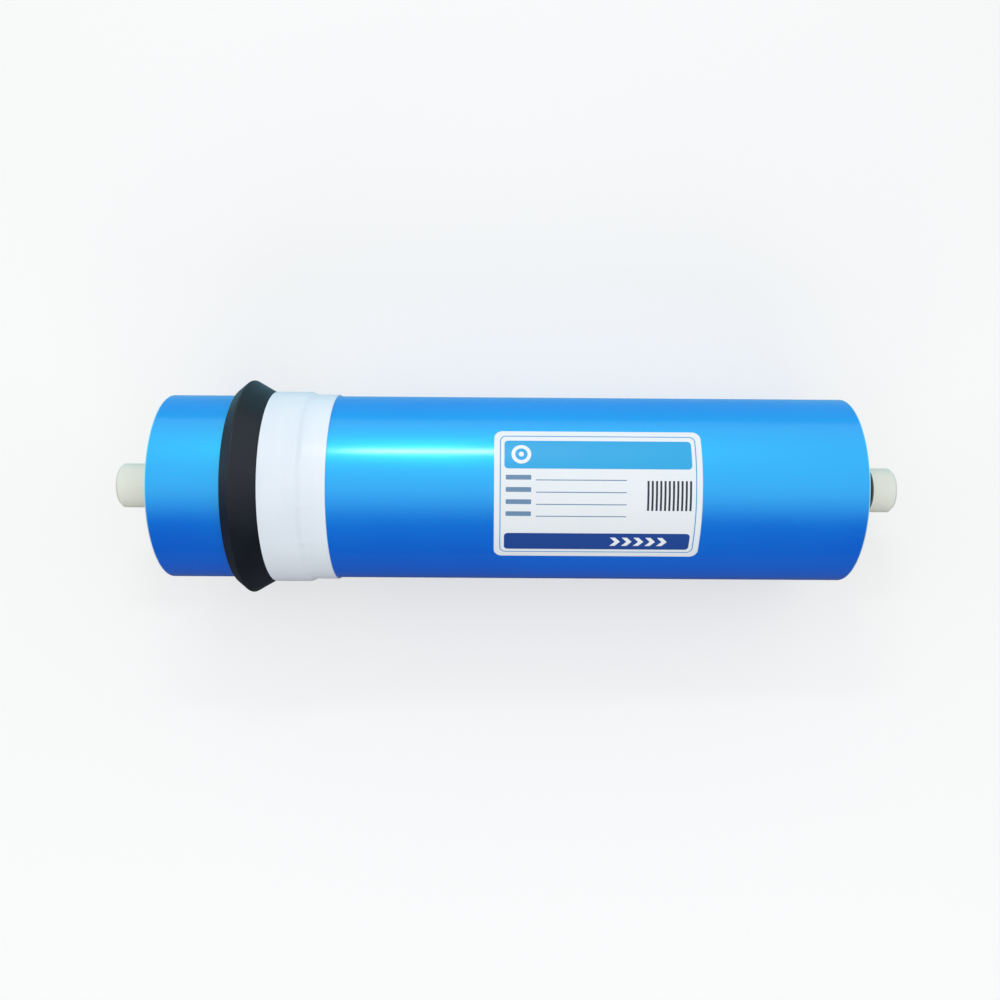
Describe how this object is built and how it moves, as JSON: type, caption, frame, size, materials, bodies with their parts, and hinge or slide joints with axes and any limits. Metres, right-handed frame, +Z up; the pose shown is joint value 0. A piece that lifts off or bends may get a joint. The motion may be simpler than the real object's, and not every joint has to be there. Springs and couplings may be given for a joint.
{
  "type": "reverse osmosis membrane element",
  "caption": "Spiral-wound reverse osmosis membrane element in blue film, with a rubber brine seal near its feed end and an O-ring spigot on its permeate tube.",
  "frame": {"origin": "on the permeate tube's axis, halfway between its two ends", "axes": "+X along the tube towards the permeate outlet, +Z up on the side that carries the label, +Y to the left when looking towards the permeate outlet"},
  "size_m": [0.298, 0.082, 0.082],
  "materials": {
    "tube_plastic": "moulded, satin",
    "carrier_cloth": "fine knit",
    "blue_film": "glossy film",
    "seal_rubber": "moulded rubber, satin",
    "white_tape": "vinyl tape, semi-gloss",
    "label_stock": "printed film label",
    "o_ring_rubber": "moulded rubber",
    "membrane_sheet": "coated non-woven sheet",
    "spacer_net": "extruded net"
  },
  "bodies": {
    "root": {"brine_seal": "seal_rubber", "core_carrier": "carrier_cloth", "feed_spacer_1": "spacer_net", "feed_spacer_2": "spacer_net", "feed_spacer_3": "spacer_net", "feed_spacer_4": "spacer_net", "feed_spacer_5": "spacer_net", "inner_o_ring": "o_ring_rubber", "label": "label_stock", "membrane_leaf_1": "membrane_sheet", "membrane_leaf_2": "membrane_sheet", "membrane_leaf_3": "membrane_sheet", "membrane_leaf_4": "membrane_sheet", "membrane_leaf_5": "membrane_sheet", "outer_o_ring": "o_ring_rubber", "outer_wrap": "blue_film", "permeate_tube": "tube_plastic", "seal_tape": "white_tape"}
  },
  "joints": []
}
